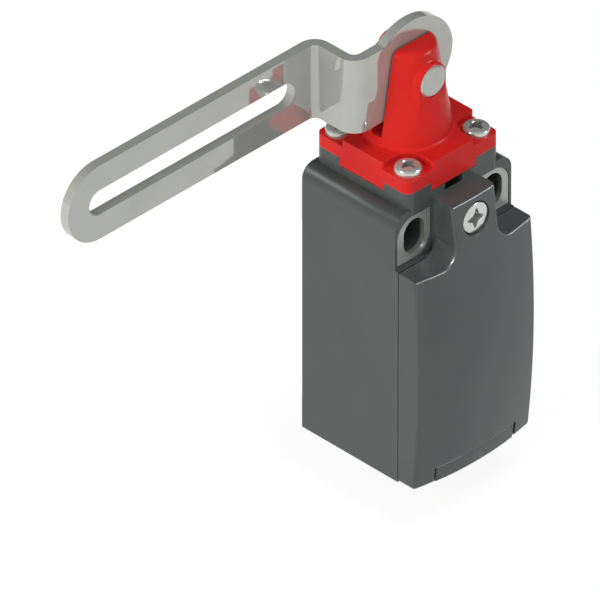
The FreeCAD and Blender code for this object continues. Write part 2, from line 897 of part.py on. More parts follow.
def make_turret():
    rise = turret_top - head_top
    slope = (dim.turret_foot_radius - dim.turret_tip_radius) / rise
    flare, crown = dim.turret_flare, dim.turret_crown
    low = dim.turret_foot_radius - slope * flare
    high = dim.turret_tip_radius + slope * crown
    cone = turned(
        "turret_cone",
        [
            (0, screw_recess_floor),
            (low + flare, screw_recess_floor),
            (low + flare, head_top, -flare),
            (low, head_top + flare),
            (high, turret_top - crown, crown),
            (high - crown, turret_top),
            (0, turret_top),
        ],
    )
    column = box(
        "boss_column",
        (-boss_radius, boss_radius),
        (-dim.boss_depth, dim.boss_depth),
        (screw_recess_floor, pivot_height),
    )
    eye = backward("boss_eye", boss_radius, 0, pivot_height, (-dim.boss_depth, dim.boss_depth))
    turret = finished("turret", fuse("turret_blank", cone, column, eye))
    rounded(turret, "boss_edges", dim.boss_edge_radius, is_boss_edge)
    return rounded(turret, "boss_blend", dim.boss_blend_radius, lambda edge: is_boss_foot(edge, slope))


def is_boss_edge(edge):
    """True for an upright or round edge of the flat front or back of the boss."""
    extent = edge.BoundBox
    flat = extent.YLength < 0.001 and near(abs(extent.YMin), dim.boss_depth)
    return flat and (extent.XLength < 0.001 or edge.Curve.TypeId == "Part::GeomCircle")


def is_boss_foot(edge, slope):
    """True for an edge where a side of the boss or its round top meets the cone."""
    middle = edge.valueAt((edge.FirstParameter + edge.LastParameter) / 2)
    cone_radius = dim.turret_foot_radius - slope * (middle.z - head_top)
    rise = middle.z - pivot_height.value
    reach = abs(middle.x) if rise < 0 else math.hypot(middle.x, rise)
    return near(math.hypot(middle.x, middle.y), cone_radius) and near(reach, boss_radius)


def make_head():
    slab = square_block("head_slab", key_bottom, head_top)
    key = half_key - dim.fit_gap
    reach = head_screw_offset - dim.screw_recess_radius
    bend = dim.screw_recess_radius
    corner = [(reach, reach + bend, bend), (reach + bend, reach), (FAR, reach), (FAR, FAR), (reach, FAR)]
    openings = [
        box("fork", (-FAR, FAR), (-fork_half, fork_half), (fork_floor, FAR * 2)),
        backward("pin_hole", dim.pin_radius + dim.running_gap / 2, 0, pivot_height, (-FAR, FAR)),
        upright("collar_bore", dim.collar_radius + dim.bore_gap, 0, 0, (0, collar_top + dim.bore_gap * 2)),
        upright("ring_seat", ring_outer + dim.running_gap, 0, 0, (0, post_height)),
        box(
            "tongue_hole",
            (-dim.tongue_width / 2 - dim.tongue_gap, dim.tongue_width / 2 + dim.tongue_gap),
            (-fork_half, fork_half),
            (collar_top, fork_floor + 1),
        ),
    ]
    pockets = []
    for index, (side, front) in enumerate(ring_of_four(1)):
        pockets.append(corner_block(f"key_corner_{index}", side, front, key))
        outline = in_corner(corner, side, front)
        pockets.append(prism(f"screw_pocket_{index}", "XY_Plane", outline, screw_recess_floor, FAR))
        x, y = side * head_screw_offset, front * head_screw_offset
        hole = dim.head_screw_radius + dim.fit_gap
        pockets.append(upright(f"head_hole_{index}", hole, x, y, (0, FAR * 2)))
    base = finished("head_base", cut("head_cross", slab, *pockets))
    rounded(base, "arm_corners", dim.arm_corner_radius, is_arm_corner)
    return cut("head", fuse("head_blank", base, make_turret()), *openings)


def in_corner(outline, side, front):
    """An outline of the right rear corner, mirrored into the corner on a side."""
    return [
        (side * as_size(x), front * as_size(y), *(side * front * as_size(bend) for bend in bends))
        for x, y, *bends in outline
    ]


def is_arm_corner(edge):
    """True for an upright outer edge of the raised cross between the screw recesses."""
    extent = edge.BoundBox
    outside = near(abs(extent.XMin), half_neck) or near(abs(extent.YMin), half_neck)
    return runs_along(edge, "Z") and near(extent.ZMin, screw_recess_floor) and outside


def corner_block(name, side, front, key):
    """The space of one raised corner of the neck, under the head."""
    x = (key, FAR) if side > 0 else (-FAR, -key)
    y = (key, FAR) if front > 0 else (-FAR, -key)
    return box(name, x, y, (0, post_height))


def make_head_screws():
    items = []
    for index, (x, y) in enumerate(ring_of_four(head_screw_offset)):
        item = screw(
            f"head_screw_{index}",
            dim.head_screw_head_radius,
            dim.head_screw_head_height,
            dim.head_screw_radius,
            screw_recess_floor - head_screw_tip,
        )
        items.append(place(item, x, y, screw_recess_floor))
    return group("head_screws", *items)


def make_head_gasket():
    height = (head_gasket_bottom, key_bottom)
    disc = upright("gasket_disc", head_gasket_outer, 0, 0, height)
    return cut("head_gasket", disc, upright("gasket_hole", head_gasket_inner, 0, 0, (0, FAR * 2)))


def make_pivot_pin():
    bevel = dim.pin_bevel
    item = turned(
        "pivot_pin",
        [
            (0, -pin_half),
            (dim.pin_radius - bevel, -pin_half),
            (dim.pin_radius, bevel - pin_half),
            (dim.pin_radius, pin_half - bevel),
            (dim.pin_radius - bevel, pin_half),
            (0, pin_half),
        ],
    )
    return place(item, 0, 0, pivot_height, TURN_TO_BACK)


# Lever


def lever_plan():
    """The bent strip seen from above: eye plane, web and arm joined by two quarter bends."""
    half = dim.lever_thickness / 2
    inner, outer = dim.bend_radius, dim.bend_radius + dim.lever_thickness
    middle = dim.bend_radius + half
    first_bend = -dim.web_reach + middle
    second_bend = -dim.web_reach - middle
    near_end = dim.eye_radius + 1
    far_end = -dim.arm_reach - dim.lever_width
    return [
        (near_end, -half),
        (first_bend, -half, -outer),
        (-dim.web_reach - half, middle),
        (-dim.web_reach - half, dim.arm_depth - middle, inner),
        (second_bend, dim.arm_depth - half),
        (far_end, dim.arm_depth - half),
        (far_end, dim.arm_depth + half),
        (second_bend, dim.arm_depth + half, -outer),
        (half - dim.web_reach, dim.arm_depth - middle),
        (half - dim.web_reach, middle, inner),
        (first_bend, half),
        (near_end, half),
    ]


def cam_point(angle):
    """A point of the cam at an angle from straight down: a flat follower drops evenly with the angle."""
    turn = math.radians(angle)
    drop = cam_start + cam_rate * turn
    x = drop * math.sin(turn) + cam_rate * math.cos(turn)
    z = cam_rate * math.sin(turn) - drop * math.cos(turn)
    return x, pivot_height + z


def lever_front():
    """The lever seen from the front: round-ended arm, eye, and the cam in the eye's rim below the pin."""
    half = dim.lever_width / 2
    eye, pivot = dim.eye_radius, pivot_height
    neck = root(eye * eye - half * half)
    lip = dim.tongue_width / 2 + dim.tongue_gap * 4
    heel = lip + dim.tongue_gap * 6
    steps = 3
    angles = [90 * step / steps for step in range(steps)]
    cam = [(*cam_point(angle), cam_start + cam_rate * math.radians(angle + 45 / steps)) for angle in angles]
    return [
        (*cam_point(90), eye),
        (0, pivot + eye, eye),
        (-neck, pivot + half),
        (-dim.arm_reach, pivot + half, half),
        (-dim.arm_reach - half, pivot, half),
        (-dim.arm_reach, pivot - half),
        (-neck, pivot - half, eye),
        (-heel, pivot - root(eye * eye - heel * heel)),
        (-lip, pivot - cam_start),
        *cam,
    ]


def make_lever():
    half = dim.lever_width
    strip = prism("lever_strip", "XY_Plane", lever_plan(), pivot_height - half, half * 2)
    front = prism("lever_face", "XZ_Plane", lever_front(), -FAR, FAR * 2)
    middle = -(dim.lever_slot_inner + dim.lever_slot_outer) / 2
    reach = (dim.lever_slot_outer - dim.lever_slot_inner) / 2
    slot = prism(
        "lever_slot",
        "XZ_Plane",
        obround(middle, pivot_height, dim.lever_slot_width / 2, reach, 0),
        -FAR,
        FAR * 2,
    )
    hole = backward("eye_hole", dim.pin_radius + dim.running_gap, 0, pivot_height, (-FAR, FAR))
    return cut("lever", common("lever_blank", strip, front), slot, hole)


# Plunger, seal and spring


def make_plunger():
    half_tongue = dim.tongue_width / 2
    tongue = box(
        "tongue",
        (-half_tongue, half_tongue),
        (dim.tongue_gap - fork_half, fork_half - dim.tongue_gap),
        (collar_bottom, tongue_top),
    )
    collar = upright("collar", dim.collar_radius, 0, 0, (collar_bottom, collar_top))
    stem = upright("stem", dim.stem_radius, 0, 0, (carrier_top, collar_top))
    return fuse("plunger", tongue, collar, stem)


def make_plunger_seal():
    height = (key_bottom, key_bottom + dim.ring_height)
    disc = upright("seal_disc", ring_outer, 0, 0, height)
    return cut("plunger_seal", disc, upright("seal_hole", ring_inner, 0, 0, (0, FAR * 2)))


def make_return_spring():
    item = spring("return_spring", dim.spring_wire, spring_radius, dim.spring_turns, dim.spring_height)
    return place(item, 0, 0, spring_seat)


# Contact block


def sided(side, low, high):
    """A span of X on the right, or its mirror image on the left."""
    return (low, high) if side > 0 else (-as_size(high), -as_size(low))


def make_contact_block():
    blank = box(
        "block_blank",
        (-half_block, half_block),
        (-dim.block_front, cavity_back),
        (block_bottom, block_top),
    )
    tools = [
        box("channel", (-half_channel, half_channel), (-FAR, dim.channel_back), (channel_floor, FAR)),
        box("lid_seat", (-lid_half, lid_half), (-FAR, lid_back), (channel_floor, FAR)),
        backward("block_hole", dim.block_screw_radius + dim.fit_gap, 0, block_screw_height, (-FAR, FAR)),
        backward(
            "block_head_seat",
            dim.block_screw_head + dim.fit_gap,
            0,
            block_screw_height,
            (-FAR, dim.block_screw_seat),
        ),
        backward(
            "boss_socket",
            dim.block_boss_radius + dim.fit_gap,
            0,
            block_screw_height,
            (dim.block_boss_front - dim.fit_gap, FAR),
        ),
    ]
    for label, height in rows:
        for side, name in sides:
            tag = f"{label}_{name}"
            half_pocket = dim.pocket_height / 2
            half_slit = dim.arm_height / 2 + dim.fit_gap
            tools.append(
                box(
                    f"pocket_{tag}",
                    sided(side, pocket_inner, FAR),
                    (-FAR, dim.pocket_back),
                    (height - half_pocket, height + half_pocket),
                )
            )
            tools.append(
                box(
                    f"slit_{tag}",
                    sided(side, 0, pocket_inner + 1),
                    (terminal_front - dim.fit_gap, dim.pocket_back),
                    (height - half_slit, height + half_slit),
                )
            )
            tools.append(
                backward(
                    f"screw_well_{tag}",
                    dim.terminal_screw_radius + dim.fit_gap * 3,
                    side * terminal_offset,
                    height,
                    (0, clamp_front + dim.terminal_screw_length + dim.fit_gap * 5),
                )
            )
    return cut("contact_block", blank, *tools)


def make_contact_block_lid():
    half = lid_half - dim.fit_gap / 2
    return box(
        "contact_block_lid",
        (-half, half),
        (-dim.block_front, lid_back),
        (channel_floor + dim.fit_gap / 2, block_top),
    )


def make_contact_carrier():
    half = dim.carrier_width / 2
    post = box(
        "carrier_post",
        (-half, half),
        (-dim.carrier_front, dim.carrier_back),
        (channel_floor + dim.stroke + dim.carrier_floor_gap, carrier_top),
    )
    half_window = dim.bridge_width / 2 + dim.fit_gap
    window = box(
        "carrier_window",
        (-FAR, FAR),
        (arm_middle - half_window, arm_middle + half_window),
        (no_bridge_bottom, nc_bridge_top + dim.fit_gap * 2),
    )
    return cut("contact_carrier", post, window)


def make_bridge(name, bottom, contacts_up):
    """A moving contact bar with a button at each end, above or below it."""
    half_length, half_breadth = dim.bridge_length / 2, dim.bridge_width / 2
    top = bottom + dim.bridge_thickness
    breadth = (arm_middle - half_breadth, arm_middle + half_breadth)
    bar = box(name + "_bar", (-half_length, half_length), breadth, (bottom, top))
    span = (top, top + dim.contact_height) if contacts_up else (bottom - dim.contact_height, bottom)
    buttons = [
        upright(f"{name}_button_{label}", dim.contact_radius, side * dim.contact_offset, arm_middle, span)
        for side, label in sides
    ]
    return fuse(name, bar, *buttons)


def make_terminals(name, height, contacts_up):
    """Two fixed contacts: a screw plate in its pocket, and an arm with a button in the channel."""
    items = []
    inner = pocket_inner + dim.terminal_margin
    outer = half_block - dim.terminal_margin
    half_plate, half_arm = dim.terminal_height / 2, dim.arm_height / 2
    depth = (terminal_front, dim.pocket_back)
    low, high = height - half_arm, height + half_arm
    span = (high, high + dim.contact_height) if contacts_up else (low - dim.contact_height, low)
    hole_radius = dim.terminal_screw_radius + dim.running_gap
    for side, label in sides:
        tag = f"{name}_{label}"
        plate = box(
            tag + "_plate",
            sided(side, inner, outer),
            depth,
            (height - half_plate, height + half_plate),
        )
        arm = box(tag + "_arm", sided(side, dim.arm_end, inner + 1), depth, (low, high))
        button = upright(tag + "_button", dim.contact_radius, side * dim.contact_offset, arm_middle, span)
        hole = backward(tag + "_hole", hole_radius, side * terminal_offset, height, (-FAR, FAR))
        items.append(cut(tag, fuse(tag + "_blank", plate, arm, button), hole))
    return group(name, *items)


def make_contact_spring():
    item = spring(
        "contact_spring",
        dim.contact_spring_wire,
        dim.contact_spring_radius,
        dim.contact_spring_turns,
        nc_bridge_bottom - no_bridge_top,
    )
    return place(item, 0, arm_middle, no_bridge_top)


def make_terminal_screws():
    items = []
    for label, height in rows:
        for side, name in sides:
            item = screw(
                f"terminal_screw_{label}_{name}",
                dim.terminal_screw_head,
                dim.terminal_screw_head_height,
                dim.terminal_screw_radius,
                dim.terminal_screw_length,
            )
            items.append(place(item, side * terminal_offset, clamp_front, height, TURN_TO_FRONT))
    return group("terminal_screws", *items)


def make_clamp_plates():
    items = []
    half = dim.clamp_size / 2
    for label, height in rows:
        for side, name in sides:
            tag = f"clamp_{label}_{name}"
            middle = side * terminal_offset
            plate = box(
                tag + "_plate",
                (middle - half, middle + half),
                (clamp_front, clamp_back),
                (height - half, height + half),
            )
            hole_radius = dim.terminal_screw_radius + dim.fit_gap
            hole = backward(tag + "_hole", hole_radius, middle, height, (-FAR, FAR))
            items.append(cut(tag, plate, hole))
    return group("clamp_plates", *items)


def make_block_screw():
    item = screw(
        "block_screw",
        dim.block_screw_head,
        dim.block_screw_head_height,
        dim.block_screw_radius,
        dim.block_screw_length,
    )
    return place(item, 0, dim.block_screw_seat, block_screw_height, TURN_TO_FRONT)


# The whole switch

parts = [
    make_housing(),
    make_front_cover(),
    make_cover_screw(),
    make_hinge_pin(),
    seal_frame("cover_gasket", 0, cover_back),
    make_fixing_plate(-1, "fixing_plate_left"),
    make_fixing_plate(1, "fixing_plate_right"),
    make_head(),
    make_head_screws(),
    make_head_gasket(),
    make_pivot_pin(),
    make_lever(),
    make_plunger(),
    make_plunger_seal(),
    make_return_spring(),
    make_contact_block(),
    make_contact_block_lid(),
    make_contact_carrier(),
    make_bridge("nc_bridge", nc_bridge_bottom, True),
    make_bridge("no_bridge", no_bridge_bottom, False),
    make_contact_spring(),
    make_terminals("nc_terminals", nc_row, False),
    make_terminals("no_terminals", no_row, True),
    make_terminal_screws(),
    make_clamp_plates(),
    make_block_screw(),
]
doc.recompute()

failed = [item.Name for item in doc.Objects if "Invalid" in item.State or "Error" in item.State]
failed += [item.Label for item in parts if item.Shape.isNull() or not item.Shape.isValid()]
if failed:
    raise RuntimeError(f"these did not build: {failed}")
os.makedirs("parts", exist_ok=True)
for item in parts:
    item.Shape.exportStep(f"parts/{item.Label}.step")
    print(f"{item.Label}: {len(item.Shape.Solids)} solids, {item.Shape.Volume:.1f} cubic mm")
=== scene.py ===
# %% [markdown]
# # A safety limit switch
# The switch tells a machine whether a guard is shut. A guard's pin rides in the slot of the steel
# lever, and as the lever swings up, a cam on its eye pushes a plunger down to the contacts.
# The construction comes ready made, so this lesson is about its looks: camera, light, finishes,
# and the small pieces that are too fine for the construction, which are worked out with numpy.

# %% Load the switch and its record
import json
import math

import bpy
import numpy as np
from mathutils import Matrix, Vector


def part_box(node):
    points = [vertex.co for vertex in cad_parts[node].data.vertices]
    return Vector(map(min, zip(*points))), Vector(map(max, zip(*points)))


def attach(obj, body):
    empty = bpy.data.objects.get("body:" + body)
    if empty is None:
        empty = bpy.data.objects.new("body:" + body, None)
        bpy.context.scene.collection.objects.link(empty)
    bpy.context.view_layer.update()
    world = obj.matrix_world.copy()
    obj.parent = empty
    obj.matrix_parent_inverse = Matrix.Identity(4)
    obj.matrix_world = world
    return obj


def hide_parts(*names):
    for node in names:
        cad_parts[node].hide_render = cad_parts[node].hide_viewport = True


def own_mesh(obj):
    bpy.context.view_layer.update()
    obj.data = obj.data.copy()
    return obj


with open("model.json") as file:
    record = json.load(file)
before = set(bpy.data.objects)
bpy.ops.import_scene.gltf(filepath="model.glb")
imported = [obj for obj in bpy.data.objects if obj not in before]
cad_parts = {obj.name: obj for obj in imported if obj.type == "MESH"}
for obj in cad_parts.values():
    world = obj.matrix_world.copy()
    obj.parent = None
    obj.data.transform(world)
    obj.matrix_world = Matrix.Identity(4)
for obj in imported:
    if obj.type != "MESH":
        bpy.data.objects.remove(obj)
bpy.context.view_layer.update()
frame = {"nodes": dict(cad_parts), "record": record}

scene = bpy.context.scene
MM = 0.001


# %% [markdown]
# ## Camera
# The picture to match is an equal-angle view: width, depth and height are all drawn to one scale,
# and upright edges stay parallel. An orthographic camera would do that, but a very long lens far
# away looks the same, and still behaves like a real camera when it is moved to other views.

# %% The camera
VIEW_CENTRE = Vector((-13.8, 13.8, 26.87)) * MM
VIEW_WIDTH = 109.35 * MM
LENS = 1500.0
SENSOR = 36.0
FARTHEST_SEEN = 100.0
toward_camera = Vector((-1.0, -1.0, 1.0)).normalized()

camera_data = bpy.data.cameras.new("camera")
camera_data.lens = LENS
camera_data.sensor_width = SENSOR
camera_data.clip_end = FARTHEST_SEEN
camera = bpy.data.objects.new("camera", camera_data)
camera.location = VIEW_CENTRE + toward_camera * (VIEW_WIDTH * LENS / SENSOR)
camera.rotation_euler = toward_camera.to_track_quat("Z", "Y").to_euler()
scene.collection.objects.link(camera)
scene.camera = camera
print("camera distance in m:", round((camera.location - VIEW_CENTRE).length, 3))

# %% [markdown]
# ## Node helpers
# The room, the floor and every finish below are small trees of shader nodes. Two helpers keep those
# trees readable: one adds a node and sets its values, and one joins sockets.

# %% Adding and joining nodes


def add(tree, kind, values=None, **settings):
    """Add a node, set its properties by name and its inputs by name or number."""
    node = tree.nodes.new(kind)
    for name, value in settings.items():
        setattr(node, name, value)
    for name, value in (values or {}).items():
        node.inputs[name].default_value = value
    return node


def join(tree, *pairs):
    """Link each pair of an output socket and an input socket."""
    for output, entry in pairs:
        tree.links.new(output, entry)


print("node helpers ready")

# %% [markdown]
# ## Room
# The switch is lit as for a catalogue, in a room that is pale all round. Only its upper back, on the
# right, is dark. Edges that face up mirror that dark end, and so the steel keeps a clear outline
# against the white. A picture of a studio could do this. Here the strength of the world only follows
# the direction of each ray, which is easier to set.

# %% The room
scene.view_settings.view_transform = "Standard"
WHITE = (1.0, 1.0, 1.0, 1.0)
BRIGHT_SIDE = Vector((-0.62, -0.42, -0.66)).normalized()
BRIGHT_FROM = 0.2
DARK_END = 0.14
BRIGHT_END = 0.6

room = bpy.data.worlds.new("room")
scene.world = room
room.use_nodes = True
tree = room.node_tree
tree.nodes["Background"].inputs["Color"].default_value = WHITE
direction = add(tree, "ShaderNodeTexCoord")
facing = add(tree, "ShaderNodeVectorMath", {1: BRIGHT_SIDE}, operation="DOT_PRODUCT")
level = add(
    tree,
    "ShaderNodeMapRange",
    {"From Min": -1.0, "From Max": BRIGHT_FROM, "To Min": DARK_END, "To Max": BRIGHT_END},
    interpolation_type="SMOOTHSTEP",
)
join(
    tree,
    (direction.outputs["Generated"], facing.inputs[0]),
    (facing.outputs["Value"], level.inputs["Value"]),
    (level.outputs["Result"], tree.nodes["Background"].inputs["Strength"]),
)
print("strength of the room from", DARK_END, "to", BRIGHT_END)

# %% [markdown]
# ## Lamps
# A wide, warm lamp on the left makes that side of the housing the lightest. A cool one overhead and
# a weak one low in front fill the rest. They light surfaces but are hidden from mirrors, because the
# image of a lamp would break up the outline of the steel.

# %% Soft lamps


def area_lamp(name, place, power, size, colour):
    """A rectangular lamp, size being its width and height, that points at the middle of the view."""
    data = bpy.data.lights.new(name, "AREA")
    data.shape = "RECTANGLE"
    data.energy = power
    data.size = size[0]
    data.size_y = size[1]
    data.color = colour
    lamp = bpy.data.objects.new(name, data)
    lamp.location = place
    lamp.rotation_euler = (Vector(place) - VIEW_CENTRE).to_track_quat("Z", "Y").to_euler()
    scene.collection.objects.link(lamp)
    return lamp


def soft_lamp(name, place, power, width, colour):
    """A lamp that lights surfaces and isn't seen as a reflection."""
    area_lamp(name, place, power, (width, width), colour).visible_glossy = False


soft_lamp("left_lamp", (-1.1, 0.1, 0.35), power=8.8, width=0.9, colour=(1.0, 0.985, 0.9))
soft_lamp("front_lamp", (-0.4, -1.1, 0.1), power=0.6, width=0.6, colour=(0.88, 0.97, 1.0))
soft_lamp("top_lamp", (0.0, -0.4, 1.35), power=6.0, width=0.6, colour=(0.93, 0.98, 1.0))

# %% [markdown]
# Cards do the opposite of lamps: they light nothing and show only as reflections. Light linking gives
# each card to the one node that should mirror it, where it draws a bright line along the rounded
# edges. Where a card stands decides which slope of an edge shines: the one that faces halfway
# between the camera and the card.

# %% Cards for the bright edges
EDGE_PLACE = (0.95, -1.26, 0.48)
SHOULDER_PLACE = (-0.95, 0.95, 0.95)
CORNER_PLACE = (-0.9, -0.9, 0.95)


def card(name, place, power, size, mirrors):
    """A lamp that lights no surface and is seen only as a reflection in the given objects."""
    lamp = area_lamp(name, place, power, size, WHITE[:3])
    lamp.visible_diffuse = False
    receivers = bpy.data.collections.new(name + "_mirrors")
    for item in mirrors:
        receivers.objects.link(item)
    lamp.light_linking.receiver_collection = receivers


cover = frame["nodes"]["front_cover"]
head = frame["nodes"]["head"]
housing = frame["nodes"]["housing"]
card("edge_card", EDGE_PLACE, power=44.0, size=(1.4, 0.4), mirrors=[cover])
card("head_card", EDGE_PLACE, power=22.0, size=(0.5, 0.5), mirrors=[head])
card("knuckle_card", EDGE_PLACE, power=22.0, size=(0.5, 0.5), mirrors=[housing])
card("shoulder_card", SHOULDER_PLACE, power=6.0, size=(0.6, 0.6), mirrors=[housing])
card("corner_card", CORNER_PLACE, power=90.0, size=(0.2, 0.2), mirrors=[cover])

# %% [markdown]
# ## Floor
# The switch hangs on a wall by its back, so the floor lies far enough below it for the cover to fold
# down. It is white to the camera and to mirrors, and a plain pale surface to all other light. A
# small share of the white comes from the lamps, and so it keeps a faint shadow under the switch.

# %% The floor
FLOOR_DROP = 10.0 * MM
FLOOR_HALF = 3.0
FLOOR_GLOW = 0.9
FLOOR_SHADED = (0.16, 0.16, 0.16, 1.0)
FLOOR_PALE = (0.82, 0.82, 0.82, 1.0)
corners = np.array([(-1, -1), (1, -1), (1, 1), (-1, 1)]) * FLOOR_HALF
floor_mesh = bpy.data.meshes.new("floor")
floor_mesh.from_pydata(np.column_stack([corners, np.full(4, -FLOOR_DROP)]), [], [(0, 1, 2, 3)])
floor = bpy.data.objects.new("floor", floor_mesh)
scene.collection.objects.link(floor)

floor_paint = bpy.data.materials.new("floor_paint")
floor_paint.use_nodes = True
tree = floor_paint.node_tree
tree.nodes.clear()
ray = add(tree, "ShaderNodeLightPath")
seen = add(tree, "ShaderNodeMath", operation="MAXIMUM")
seen_or_glass = add(tree, "ShaderNodeMath", operation="MAXIMUM")
glow = add(tree, "ShaderNodeEmission", {"Strength": FLOOR_GLOW})
lit = add(tree, "ShaderNodeBsdfDiffuse", {"Color": FLOOR_SHADED})
pale = add(tree, "ShaderNodeBsdfDiffuse", {"Color": FLOOR_PALE})
white = add(tree, "ShaderNodeAddShader")
choice = add(tree, "ShaderNodeMixShader")
join(
    tree,
    (ray.outputs["Is Camera Ray"], seen.inputs[0]),
    (ray.outputs["Is Glossy Ray"], seen.inputs[1]),
    (seen.outputs[0], seen_or_glass.inputs[0]),
    (ray.outputs["Is Transmission Ray"], seen_or_glass.inputs[1]),
    (glow.outputs[0], white.inputs[0]),
    (lit.outputs[0], white.inputs[1]),
    (seen_or_glass.outputs[0], choice.inputs[0]),
    (pale.outputs[0], choice.inputs[1]),
    (white.outputs[0], choice.inputs[2]),
    (choice.outputs[0], add(tree, "ShaderNodeOutputMaterial").inputs["Surface"]),
)
floor_mesh.materials.append(floor_paint)
print("floor at", -FLOOR_DROP / MM, "mm")

# %% [markdown]
# ## Effects that several finishes share
# A moulding is never quite even: its skin has a fine eroded grain, its tone drifts a little, and its
# edges are rubbed. Sheet metal has long rolling lines instead of grain. Each effect is one node
# group with named inputs, so each finish can use it at its own strength. The first is the grain: a
# fine noise for the height of the skin and a broad one for the drift of its tone.

# %% Grain of a moulding


def new_group(name, inputs, outputs):
    """A shader node group with named sockets. Returns the tree and its two end nodes."""
    tree = bpy.data.node_groups.new(name, "ShaderNodeTree")
    for socket, kind, value in inputs:
        entry = tree.interface.new_socket(socket, in_out="INPUT", socket_type="NodeSocket" + kind)
        entry.default_value = value
    for socket, kind in outputs:
        tree.interface.new_socket(socket, in_out="OUTPUT", socket_type="NodeSocket" + kind)
    return tree, add(tree, "NodeGroupInput"), add(tree, "NodeGroupOutput")


grain, entry, result = new_group(
    "moulded_grain",
    [("Fineness", "Float", 3000.0), ("Drift", "Float", 90.0)],
    [("Height", "Float"), ("Tone", "Float")],
)
place = add(grain, "ShaderNodeTexCoord")
pits = add(grain, "ShaderNodeTexNoise", {"Detail": 3.0, "Roughness": 0.6})
drift = add(grain, "ShaderNodeTexNoise", {"Detail": 4.0, "Roughness": 0.55})
join(
    grain,
    (place.outputs["Object"], pits.inputs["Vector"]),
    (place.outputs["Object"], drift.inputs["Vector"]),
    (entry.outputs["Fineness"], pits.inputs["Scale"]),
    (entry.outputs["Drift"], drift.inputs["Scale"]),
    (pits.outputs["Fac"], result.inputs["Height"]),
    (drift.outputs["Fac"], result.inputs["Tone"]),
)
print("group:", grain.name)

# %% [markdown]
# Handling rubs the edges of a moulding paler. A Bevel node gives the average normal of the faces near
# a point. On a flat face it agrees with the face's own normal, and near an edge it turns away from
# it, so the difference is a mask for rubbed edges. Their roundness itself is in the mesh.

# %% Rubbed edges
RUB_REACH = 0.4 * MM
UNTOUCHED_AT = 0.99
RUBBED_AT = 0.78
edges, entry, result = new_group("rubbed_edge", [("Reach", "Float", RUB_REACH)], [("Rub", "Float")])
own = add(edges, "ShaderNodeNewGeometry")
nearby = add(edges, "ShaderNodeBevel", samples=6)
agree = add(edges, "ShaderNodeVectorMath", operation="DOT_PRODUCT")
rub = add(edges, "ShaderNodeMapRange", {"From Min": UNTOUCHED_AT, "From Max": RUBBED_AT})
join(
    edges,
    (entry.outputs["Reach"], nearby.inputs["Radius"]),
    (nearby.outputs["Normal"], agree.inputs[0]),
    (own.outputs["Normal"], agree.inputs[1]),
    (agree.outputs["Value"], rub.inputs["Value"]),
    (rub.outputs["Result"], result.inputs["Rub"]),
)
print("group:", edges.name)

# %% [markdown]
# Rolled strip has fine lines along its length. Noise that is stretched along one axis looks like
# them, and a second, rounder noise stands for the faint marks that handling leaves.

# %% Lines of rolled metal
ALONG_X = (1.0, 30.0, 30.0)
EVEN = (6.0, 6.0, 6.0)
rolled, entry, result = new_group(
    "rolled_lines",
    [("Stretch", "Vector", ALONG_X), ("Fineness", "Float", 160.0)],
    [("Lines", "Float"), ("Marks", "Float")],
)
place = add(rolled, "ShaderNodeTexCoord")
along = add(rolled, "ShaderNodeVectorMath", operation="MULTIPLY")
lines = add(rolled, "ShaderNodeTexNoise", {"Detail": 4.0, "Roughness": 0.7})
marks = add(rolled, "ShaderNodeTexNoise", {"Scale": 140.0, "Detail": 3.0, "Roughness": 0.5})
join(
    rolled,
    (place.outputs["Object"], along.inputs[0]),
    (entry.outputs["Stretch"], along.inputs[1]),
    (along.outputs["Vector"], lines.inputs["Vector"]),
    (entry.outputs["Fineness"], lines.inputs["Scale"]),
    (place.outputs["Object"], marks.inputs["Vector"]),
    (lines.outputs["Fac"], result.inputs["Lines"]),
    (marks.outputs["Fac"], result.inputs["Marks"]),
)
print("group:", rolled.name)

# %% [markdown]
# ## Colours and shares
# A finish is mostly mixing: a tone lies between two colours, and a noise says how far along. Noise
# keeps to the middle of its range, so that middle part is spread over the whole of a mix. Values
# that are the same all over a surface are set on the shader's own sockets instead.

# %% Helpers for finishes
NOISE_LOW = 0.3
NOISE_HIGH = 0.7


def srgb(red, green, blue):
    """A screen colour, from 0 to 255, as linear light: the sRGB curve, straight near black."""
    share = np.array([red, green, blue]) / 255.0
    linear = np.where(share > 0.04045, ((share + 0.055) / 1.055) ** 2.4, share / 12.92)
    return (*linear.tolist(), 1.0)


def new_finish(name, socket, value):
    """A material with one Principled shader, one of whose own sockets gets a constant value."""
    material = bpy.data.materials.new(name)
    material.use_nodes = True
    shader = material.node_tree.nodes["Principled BSDF"]
    shader.inputs[socket].default_value = value
    return material, material.node_tree, shader


def use_group(tree, group, **values):
    """Place a node group in a material with its own values."""
    node = add(tree, "ShaderNodeGroup", node_tree=group)
    for name, value in values.items():
        node.inputs[name].default_value = value
    return node


def spread(tree, value, low, high, first=NOISE_LOW, last=NOISE_HIGH):
    """Map a varying value from the range first to last onto the range low to high."""
    values = {"From Min": first, "From Max": last, "To Min": low, "To Max": high}
    node = add(tree, "ShaderNodeMapRange", values)
    join(tree, (value, node.inputs["Value"]))
    return node.outputs["Result"]


def between(tree, share, first, second):
    """A colour between two fixed ones, by a varying share."""
    node = add(tree, "ShaderNodeMix", {"A": first, "B": second}, data_type="RGBA")
    join(tree, (share, node.inputs["Factor"]))
    return node.outputs["Result"]


def tinted(tree, share, under, colour):
    """A varying colour, mixed towards a fixed one by a varying share."""
    node = add(tree, "ShaderNodeMix", {"B": colour}, data_type="RGBA")
    join(tree, (share, node.inputs["Factor"]), (under, node.inputs["A"]))
    return node.outputs["Result"]


print("middle grey as linear light:", round(srgb(128, 128, 128)[0], 3))

# %% [markdown]
# ## Mouldings
# Housing, cover, head, plunger and contact block are all injection mouldings, and differ in colour,
# gloss and grain. One function makes them all: tone drifts between two colours, edges are rubbed
# paler, grain makes the bump, and the drift also varies the gloss a little.

# %% A finish for mouldings
RUB_SHARE = 0.5
PLAIN_SHINE = 0.5


